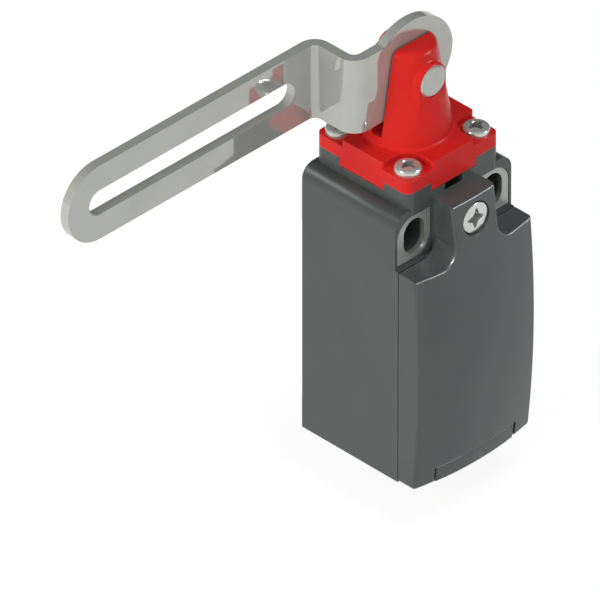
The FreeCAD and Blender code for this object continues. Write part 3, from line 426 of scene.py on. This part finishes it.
def moulding(name, dark, pale, rubbed, gloss, fineness, relief, shine=PLAIN_SHINE):
    """A moulded plastic. gloss is a pair of roughness values, relief the height of its grain."""
    material, tree, shader = new_finish(name, "Specular IOR Level", shine)
    skin = use_group(tree, grain, Fineness=fineness)
    rim = use_group(tree, edges, Reach=RUB_REACH)
    tone = between(tree, spread(tree, skin.outputs["Tone"], 0.0, 1.0), dark, pale)
    worn = spread(tree, rim.outputs["Rub"], 0.0, RUB_SHARE, 0.0, 1.0)
    bump = add(tree, "ShaderNodeBump", {"Strength": 1.0, "Distance": relief})
    join(
        tree,
        (tinted(tree, worn, tone, rubbed), shader.inputs["Base Color"]),
        (spread(tree, skin.outputs["Tone"], *gloss), shader.inputs["Roughness"]),
        (skin.outputs["Height"], bump.inputs["Height"]),
        (bump.outputs["Normal"], shader.inputs["Normal"]),
    )
    return material


print("share of the rubbed colour on an edge:", RUB_SHARE)

# %% [markdown]
# The casing is a dark grey, finely eroded plastic with a dull sheen. The head is red and has hardly
# any sheen. What lies inside is plainer: a black plunger, an ivory contact block and soft black seals.
# Each is listed under the slot that the record of the construction names.

# %% The mouldings
finishes = {
    "casing": moulding(
        "casing_grey",
        srgb(64, 69, 69),
        srgb(69, 74, 73),
        srgb(90, 95, 94),
        gloss=(0.28, 0.36),
        fineness=3200.0,
        relief=0.0012 * MM,
        shine=0.42,
    ),
    "red_plastic": moulding(
        "head_red",
        srgb(207, 33, 29),
        srgb(215, 38, 34),
        srgb(228, 72, 64),
        gloss=(0.3, 0.38),
        fineness=2200.0,
        relief=0.002 * MM,
        shine=0.12,
    ),
    "plunger_plastic": moulding(
        "plunger_black",
        srgb(34, 35, 36),
        srgb(42, 43, 44),
        srgb(66, 67, 68),
        gloss=(0.38, 0.5),
        fineness=2600.0,
        relief=0.004 * MM,
    ),
    "block_plastic": moulding(
        "block_ivory",
        srgb(205, 199, 182),
        srgb(216, 211, 196),
        srgb(228, 224, 212),
        gloss=(0.4, 0.52),
        fineness=2400.0,
        relief=0.004 * MM,
    ),
    "rubber": moulding(
        "seal_rubber",
        srgb(24, 24, 25),
        srgb(34, 34, 34),
        srgb(48, 48, 48),
        gloss=(0.62, 0.78),
        fineness=1800.0,
        relief=0.01 * MM,
    ),
}
print("mouldings:", sorted(finishes))

# %% [markdown]
# ## Metals
# Metals show what they mirror, so their colour matters less than their polish. One function makes
# them all: rolling lines vary the roughness and give a very shallow bump. Painted shade greys the
# recess of a screw, where little light gets in, by a mask that the screws bring as an attribute.

# %% A finish for metals
# Painted shade: the recess of a screw is mixed towards this grey, as if little light got in.
RECESS_SHADE_GREY = srgb(150, 151, 149)
RECESS_SHADE_SHARE = 0.55


def metal(name, dark, pale, polish, stretch, relief, metallic=1.0):
    """A bare or plated metal. polish is a pair of roughness values, stretch the run of its lines."""
    material, tree, shader = new_finish(name, "Metallic", metallic)
    sheet = use_group(tree, rolled, Stretch=stretch)
    mask = add(tree, "ShaderNodeAttribute", attribute_name="hollow")
    tone = between(tree, spread(tree, sheet.outputs["Marks"], 0.0, 1.0), dark, pale)
    # Painted shade: the recess mask turns the colour greyer there.
    painted_shade_amount = spread(tree, mask.outputs["Fac"], 0.0, RECESS_SHADE_SHARE, 0.0, 1.0)
    bump = add(tree, "ShaderNodeBump", {"Strength": 1.0, "Distance": relief})
    join(
        tree,
        (tinted(tree, painted_shade_amount, tone, RECESS_SHADE_GREY), shader.inputs["Base Color"]),
        (spread(tree, sheet.outputs["Lines"], *polish), shader.inputs["Roughness"]),
        (sheet.outputs["Lines"], bump.inputs["Height"]),
        (bump.outputs["Normal"], shader.inputs["Normal"]),
    )
    return material


print("share of grey in a recess:", RECESS_SHADE_SHARE)

# %% [markdown]
# The lever is satin stainless strip that mirrors the floor and the red head. The screws are zinc
# plated and bright, and the plates round the fixing slots are stamped and duller. Springs are drawn
# wire and the contacts are brass. The pale ones are only partly metallic, which keeps them light
# where they mirror the dark end of the room.

# %% The metals
finishes["steel"] = metal(
    "lever_steel",
    srgb(177, 178, 172),
    srgb(183, 184, 178),
    polish=(0.02, 0.05),
    stretch=ALONG_X,
    relief=0.0001 * MM,
    metallic=0.4,
)
finishes["plated_steel"] = metal(
    "zinc_plating",
    srgb(198, 200, 196),
    srgb(210, 212, 208),
    polish=(0.1, 0.18),
    stretch=EVEN,
    relief=0.0006 * MM,
    metallic=0.66,
)
finishes["spring_steel"] = metal(
    "drawn_wire",
    srgb(150, 151, 152),
    srgb(170, 171, 172),
    polish=(0.2, 0.32),
    stretch=EVEN,
    relief=0.001 * MM,
)
finishes["contact_brass"] = metal(
    "contact_brass",
    srgb(202, 168, 96),
    srgb(214, 182, 112),
    polish=(0.2, 0.34),
    stretch=ALONG_X,
    relief=0.001 * MM,
)
stamped_zinc = metal(
    "stamped_zinc",
    srgb(164, 167, 163),
    srgb(174, 177, 173),
    polish=(0.3, 0.42),
    stretch=EVEN,
    relief=0.002 * MM,
    metallic=0.6,
)
print("finishes by slot:", sorted(finishes))

# %% [markdown]
# The record of the construction names a material slot for each node, so the finishes go on by slot.
# The two fixing plates share a slot with the screws, but they are duller and get a finish of their own.

# %% Give every node its finish
own_finish = {"fixing_plate_left": stamped_zinc, "fixing_plate_right": stamped_zinc}
for part in frame["record"]["subparts"]:
    node = frame["nodes"][part["node"]]
    if not node.data.materials:
        node.data.materials.append(None)
    for holder in node.material_slots:
        holder.material = own_finish.get(part["node"], finishes[part["material_slot"]])

# %% [markdown]
# ## Screws
# The screws have low crowned heads with a cross-shaped recess, and fine machine threads. Cutting the
# cross with a boolean leaves a poor mesh. Here the whole screw is one skin of closed rings, from the
# middle of the recess, up its walls, across the crown and down the thread. The first helper turns
# such rings into vertices and faces, with a cap at each end.

# %% Rings into a skin


def skin_of_rings(rings):
    """Vertices, quads and end caps of a tube through rings, an array of shape (rings, points, 3).

    A quad joins two neighbours on a ring with the same two on the next ring. A cap is a fan of
    triangles about the mean point of the first or the last ring.
    """
    count, around = rings.shape[:2]
    index = np.arange(count * around).reshape(count, around)
    ahead = np.roll(index, -1, axis=1)
    quads = np.stack([index[:-1], index[1:], ahead[1:], ahead[:-1]], axis=-1).reshape(-1, 4)
    start = np.column_stack([np.full(around, count * around), index[0], ahead[0]])
    end = np.column_stack([np.full(around, count * around + 1), ahead[-1], index[-1]])
    vertices = np.concatenate([rings.reshape(-1, 3), rings[[0, -1]].mean(axis=1)])
    return vertices, quads, np.concatenate([start, end])


print("a tube of 5 rings of 8 points has", len(skin_of_rings(np.zeros((5, 8, 3)))[1]), "quads")

# %% [markdown]
# Each ring is a radius for every angle, so the recess is only a ring whose radius follows a cross
# instead of a circle. All rings of a screw share the same angles, and one of them falls on every
# corner of the cross, so that the corners stay sharp. Sizes here are shares of the head's radius.

# %% A cross-shaped recess
CROSS_REACH = 0.66
CROSS_TIP = 0.07
CROSS_CORNER = 0.24


def cross_share(angles):
    """Edge of the cross: the nearer of an arm's flat end and its straight flank.

    An arm reaches out to CROSS_REACH, is CROSS_TIP wide on each side there, and meets the next arm
    at (CROSS_CORNER, CROSS_CORNER). The angle is taken from the nearest arm's axis.
    """
    turn = np.abs((angles + np.pi / 4) % (np.pi / 2) - np.pi / 4)
    end = CROSS_REACH / np.cos(turn)
    slope = (CROSS_CORNER - CROSS_TIP) * np.cos(turn) + (CROSS_REACH - CROSS_CORNER) * np.sin(turn)
    return np.minimum(end, CROSS_CORNER * (CROSS_REACH - CROSS_TIP) / slope)


def around_cross(flank_steps=9, end_steps=2):
    """Angles once round, with one at every corner of the cross."""
    bend = math.atan2(CROSS_TIP, CROSS_REACH)
    arm = np.concatenate(
        [
            np.linspace(-np.pi / 4, -bend, flank_steps, endpoint=False),
            np.linspace(-bend, bend, end_steps, endpoint=False),
            np.linspace(bend, np.pi / 4, flank_steps, endpoint=False),
        ]
    )
    return (arm[None] + np.arange(4)[:, None] * np.pi / 2).ravel()


screw_angles = around_cross()
cross = cross_share(screw_angles)
print("points round a screw:", len(screw_angles))

# %% [markdown]
# A head is built from the inside out. The recess narrows towards its floor, as a punched one does. On
# the crown the rings change from the cross to a circle. They crowd at the edge, where the crown
# falls steeply, and end with a low straight side.

# %% The head of a screw


def from_ring_to_ring(*values):
    """Values that differ from ring to ring, as a column that goes with a row of angles."""
    return np.array(values)[:, None]


RECESS_SINK = from_ring_to_ring(1.0, 0.92, 0.5, 0.06)
RECESS_WIDTH = from_ring_to_ring(0.35, 0.66, 0.84, 0.98)
CROWN_OUT = from_ring_to_ring(0.0, 0.04, 0.3, 0.62, 0.88, 1.0)
CROWN_SHARE = 0.9
SIDE_HEIGHT = from_ring_to_ring(0.12, 0.0)
SIDE_WIDTH = from_ring_to_ring(1.0, 0.985)
EDGE_RINGS = 6
easing = np.sin(np.linspace(0.3, 0.5, EDGE_RINGS + 1) * np.pi)
EDGE_OUT = ((easing[1:] - easing[0]) / (1.0 - easing[0]))[:, None]


def head_profile(radius, height, rim):
    """Radius and height of each ring of a head, from the floor of its recess to its seat.

    Recess: the cross, narrower on the way down. Top: a mix of the cross and a circle. Edge: circles
    out to the full radius R. Height of the crown: rim + rise * (1 - (r / R) ** 3) ** (1 / 3).
    """

    def crown(distance):
        share = np.clip(distance / radius, 0.0, 1.0)
        return rim + (height - rim) * (1.0 - share**3) ** (1.0 / 3.0)

    top = radius * ((1.0 - CROWN_OUT) * cross + CROWN_OUT * CROWN_SHARE)
    edge = radius * (CROWN_SHARE + (1.0 - CROWN_SHARE) * EDGE_OUT)
    radii = [radius * RECESS_WIDTH * cross, top, edge, radius * SIDE_WIDTH]
    heights = [height * (1.0 - RECESS_SINK), crown(top), crown(edge), rim * SIDE_HEIGHT]
    return radii, heights


head_parts = (RECESS_SINK, CROWN_OUT, EDGE_OUT, SIDE_HEIGHT)
print("rings on a head:", sum(len(part) for part in head_parts))

# %% [markdown]
# The thread is rings too: their radius rises and falls once for each pitch along the axis, and the
# rise is shifted by the angle, so that the ridge climbs as a helix. It fades out at the tip.

# %% A whole screw
THREAD_PITCH = 0.5 * MM
THREAD_DEPTH = 0.22 * MM
RINGS_PER_PITCH = 6
FEWEST_RINGS = 8
TIP_SHARE = 0.45
TIP_CURVE = 0.7
BLUNT_POINT = 0.2 * MM


def thread_profile(radius, length, point):
    """Radius and height of each ring of a thread, from the seat down to the tip.

    Radius = root - depth * fade * |2 * fraction(height / pitch + angle) - 1|, with the angle in
    turns. The root narrows over the length of the point to TIP_SHARE of the radius.
    """
    count = max(int(length / THREAD_PITCH * RINGS_PER_PITCH), FEWEST_RINGS)
    down = np.linspace(0.0, length, count)[:, None]
    taper = np.clip((length - down) / point, 0.0, 1.0)
    phase = (down / THREAD_PITCH + screw_angles / (2 * np.pi)) % 1.0
    fade = np.clip(down / THREAD_PITCH, 0.0, 1.0) * taper
    root = radius * (TIP_SHARE + (1.0 - TIP_SHARE) * taper**TIP_CURVE)
    return root - THREAD_DEPTH * fade * np.abs(2.0 * phase - 1.0), -down


def screw_rings(head_radius, head_height, rim_share, shank_radius, length, point=BLUNT_POINT):
    """One screw along +Z with its seat at zero height: its rings, and a mask of painted shade for the
    recess.
    """

    def one_below_the_other(parts):
        return np.concatenate([np.broadcast_to(part, (len(part), len(cross))) for part in parts])

    head_radii, head_heights = head_profile(head_radius, head_height, head_height * rim_share)
    thread_radius, thread_height = thread_profile(shank_radius, length, point)
    radius = one_below_the_other([*head_radii, thread_radius])
    height = one_below_the_other([*head_heights, thread_height])
    rings = np.stack([radius * np.cos(screw_angles), radius * np.sin(screw_angles), height], axis=-1)
    return rings, np.where(np.arange(len(rings)) < len(RECESS_SINK), 1.0, 0.0)


print("finest step of the thread in mm:", round(THREAD_PITCH / RINGS_PER_PITCH / MM, 3))

# %% [markdown]
# Several skins become one piece: their faces are counted on from skin to skin. It is shaded smooth,
# and only edges that are steeper than a set angle stay sharp, as at the recess. The piece rides on
# a body and takes its finish from a slot.

# %% Skins into a piece
SHARP_FROM = math.radians(32.0)


def piece_from(name, skins, slot, body):
    """One object from several skins, with the finish of a slot, riding on a body."""
    vertices, faces, count = [], [], 0
    for points, quads, caps in skins:
        vertices.append(points)
        faces += (quads + count).tolist() + (caps + count).tolist()
        count += len(points)
    mesh = bpy.data.meshes.new(name)
    mesh.from_pydata(np.concatenate(vertices), [], faces)
    mesh.shade_smooth()
    mesh.set_sharp_from_angle(angle=SHARP_FROM)
    mesh.materials.append(finishes[slot])
    piece = bpy.data.objects.new(name, mesh)
    scene.collection.objects.link(piece)
    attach(piece, body)
    return piece


print("edges stay sharp from", round(math.degrees(SHARP_FROM)), "degrees")

# %% [markdown]
# Like screws make one piece, because they are one node of the construction, which the piece stands
# for. Each is turned about its own axis by a different angle, as a fitter leaves them. Those that
# face the cover are then laid over to point to the front.

# %% Placing screws
FIT_ROOM = 0.01 * MM


def turned_about_axis(rings, angle):
    """The rings turned about their own axis: (x cos a - y sin a, x sin a + y cos a, z)."""
    x, y, z = np.moveaxis(rings, -1, 0)
    cosine, sine = math.cos(angle), math.sin(angle)
    return np.stack([x * cosine - y * sine, x * sine + y * cosine, z], -1)


def to_front(rings):
    """The axis turned from +Z to -Y: (x, y, z) becomes (x, -z, y)."""
    x, y, z = np.moveaxis(rings, -1, 0)
    return np.stack([x, -z, y], -1)


def screws(name, node, body, one_screw, places, turns, front):
    """A piece of like screws that stands for one node of the construction."""
    rings, hollow = one_screw
    # The mask of painted recess shade, one value for every point, with the two cap centres last.
    hollows = np.append(np.repeat(hollow, rings.shape[1]), (hollow[0], hollow[-1]))
    skins = []
    for place, turn in zip(places, turns):
        one = turned_about_axis(rings, math.radians(turn))
        one = to_front(one) if front else one
        skins.append(skin_of_rings(one + np.array(place)))
    piece = piece_from(name, skins, "plated_steel", body)
    # The mask goes on as an attribute, which the metal finish reads to paint shade into the recess.
    recess = piece.data.attributes.new("hollow", "FLOAT", "POINT")
    recess.data.foreach_set("value", np.tile(hollows, len(skins)))
    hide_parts(node)
    low, high = (np.array(corner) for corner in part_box(node))
    points = np.concatenate([vertices for vertices, quads, caps in skins])
    inside = (points >= low - FIT_ROOM).all() and (points <= high + FIT_ROOM).all()
    print(name, "screws:", len(skins), "inside their node:", bool(inside))
    return piece


print("screws may stand proud of their node by", FIT_ROOM / MM, "mm")

# %% [markdown]
# Four pan-head screws hold the red head down. The box of their node says where they sit: each stands
# its own radius inside a corner of the box, and its top is the top of the box.

# %% Screws of the head
HEAD_SCREW_RADIUS = 2.57 * MM
HEAD_SCREW_HEIGHT = 1.6 * MM
HEAD_SCREW_TURNS = (3.0, 24.0, -4.0, 2.0)
low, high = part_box("head_screws")
seat = high.z - HEAD_SCREW_HEIGHT
one_screw = screw_rings(
    HEAD_SCREW_RADIUS, HEAD_SCREW_HEIGHT, rim_share=0.42, shank_radius=1.3 * MM, length=seat - low.z
)
places = [
    (x, y, seat)
    for x in (low.x + HEAD_SCREW_RADIUS, high.x - HEAD_SCREW_RADIUS)
    for y in (low.y + HEAD_SCREW_RADIUS, high.y - HEAD_SCREW_RADIUS)
]
head_set = screws(
    "head_screw_set", "head_screws", "base", one_screw, places, HEAD_SCREW_TURNS, front=False
)

# %% [markdown]
# One flatter screw in the tab shuts the cover. It is captive, so it rides on the cover and folds
# down with it. Its longer point finds the thread when the cover is shut again.

# %% Screw of the cover
COVER_SCREW_RADIUS = 3.1 * MM
COVER_SCREW_HEIGHT = 1.6 * MM
COVER_SCREW_TURNS = (-5.0,)
low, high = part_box("cover_screw")
seat = low.y + COVER_SCREW_HEIGHT
one_screw = screw_rings(
    COVER_SCREW_RADIUS,
    COVER_SCREW_HEIGHT,
    rim_share=0.86,
    shank_radius=1.5 * MM,
    length=high.y - seat,
    point=1.5 * MM,
)
places = [(0.0, seat, (low.z + high.z) / 2)]
cover_set = screws(
    "cover_screw_turned", "cover_screw", "cover", one_screw, places, COVER_SCREW_TURNS, front=True
)

# %% [markdown]
# Behind the cover, four screws press the clamp plates of the contact block, and a fifth holds the
# block in the housing. They are seen only when the cover is down, and are made the same way.

# %% Screws of the contact block
BLOCK_HEAD_HEIGHT = 1.8 * MM
BLOCK_RIM_SHARE = 0.6
TERMINAL_SCREW_RADIUS = 2.7 * MM
TERMINAL_SCREW_TURNS = (12.0, 40.0, -25.0, 5.0)
low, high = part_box("terminal_screws")
seat = low.y + BLOCK_HEAD_HEIGHT
one_screw = screw_rings(
    TERMINAL_SCREW_RADIUS, BLOCK_HEAD_HEIGHT, BLOCK_RIM_SHARE, shank_radius=1.4 * MM, length=high.y - seat
)
places = [
    (x, seat, z)
    for x in (low.x + TERMINAL_SCREW_RADIUS, high.x - TERMINAL_SCREW_RADIUS)
    for z in (low.z + TERMINAL_SCREW_RADIUS, high.z - TERMINAL_SCREW_RADIUS)
]
screws(
    "terminal_screw_set", "terminal_screws", "base", one_screw, places, TERMINAL_SCREW_TURNS, front=True
)

BLOCK_SCREW_TURNS = (18.0,)
low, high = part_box("block_screw")
seat = low.y + BLOCK_HEAD_HEIGHT
one_screw = screw_rings(
    (high.x - low.x) / 2, BLOCK_HEAD_HEIGHT, BLOCK_RIM_SHARE, shank_radius=1.5 * MM, length=high.y - seat
)
places = [(0.0, seat, (low.z + high.z) / 2)]
screws("block_screw_turned", "block_screw", "base", one_screw, places, BLOCK_SCREW_TURNS, front=True)

# %% [markdown]
# ## Springs
# A strong spring round the plunger's stem lifts it again, and a tiny one parts the two contact
# bridges. A coil spring is a round section carried along a helix whose two ends lie flatter, because
# they are wound to sit on their seats.

# %% Wire on a helix
END_EASE = 0.6


def coil_rings(radius, wire, turns, bottom, top, per_turn=40, around=14):
    """Round wire on a helix, as rings: each is a circle square to the path.

    Path: angle = 2 pi turns u and height = bottom + rise (u - ease sin(2 pi u) / (2 pi)). Circle:
    path + wire / 2 (cos v outward + sin v across), with across = outward x along.
    """
    u = np.linspace(0.0, 1.0, int(turns * per_turn) + 1)
    angle = 2 * np.pi * turns * u
    climb = u - END_EASE * np.sin(2 * np.pi * u) / (2 * np.pi)
    height = bottom + wire / 2 + (top - bottom - wire) * climb
    outward = np.stack([np.cos(angle), np.sin(angle), np.zeros_like(u)], -1)
    path = radius * outward + height[:, None] * np.array([0.0, 0.0, 1.0])
    along = np.gradient(path, axis=0)
    across = np.cross(outward, along / np.linalg.norm(along, axis=1, keepdims=True))
    v = np.linspace(0.0, 2 * np.pi, around, endpoint=False)[None, :, None]
    return path[:, None] + wire / 2 * (np.cos(v) * outward[:, None] + np.sin(v) * across[:, None])


def coil_spring(name, node, body, wire, turns):
    """A spring that fills the box of its node."""
    low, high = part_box(node)
    radius = (high.x - low.x - wire) / 2
    rings = coil_rings(radius, wire, turns, low.z, high.z)
    centre = np.array([(low.x + high.x) / 2, (low.y + high.y) / 2, 0.0])
    piece = piece_from(name, [skin_of_rings(rings + centre)], "spring_steel", body)
    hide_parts(node)
    print(name, "turns:", turns, "height in mm:", round((high.z - low.z) / MM, 2))
    return piece


print("the ends of a spring climb at", round(1.0 - END_EASE, 2), "of its mean slope")

# %% [markdown]
# The tiny spring rides on the plunger. The strong one stands in the housing, where it shortens as
# the plunger comes down; here it keeps its full length and gets a mesh of its own.

# %% The two springs
coil_spring("bridge_spring_coil", "contact_spring", "plunger", wire=0.35 * MM, turns=3)
lifting_spring = coil_spring("lifting_spring_coil", "return_spring", "base", wire=0.7 * MM, turns=4)
low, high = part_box("return_spring")
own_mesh(lifting_spring)

# %% [markdown]
# ## Glints
# Bright plating lives from what it mirrors. Two more cards, seen by the outer screws alone, put
# glints on the rounded rims of their heads and on the walls of their recesses.

# %% Glints on the screws
GLINT_POWER = 20.0
GLINT_SIZE = (0.35, 0.35)
LEFT_PLACE = (-1.0, 0.3, 1.0)
outer_screws = [head_set, cover_set]
card("front_glint", EDGE_PLACE, GLINT_POWER, GLINT_SIZE, outer_screws)
card("left_glint", LEFT_PLACE, GLINT_POWER, GLINT_SIZE, outer_screws)
print("screws with glints:", [item.name for item in outer_screws])
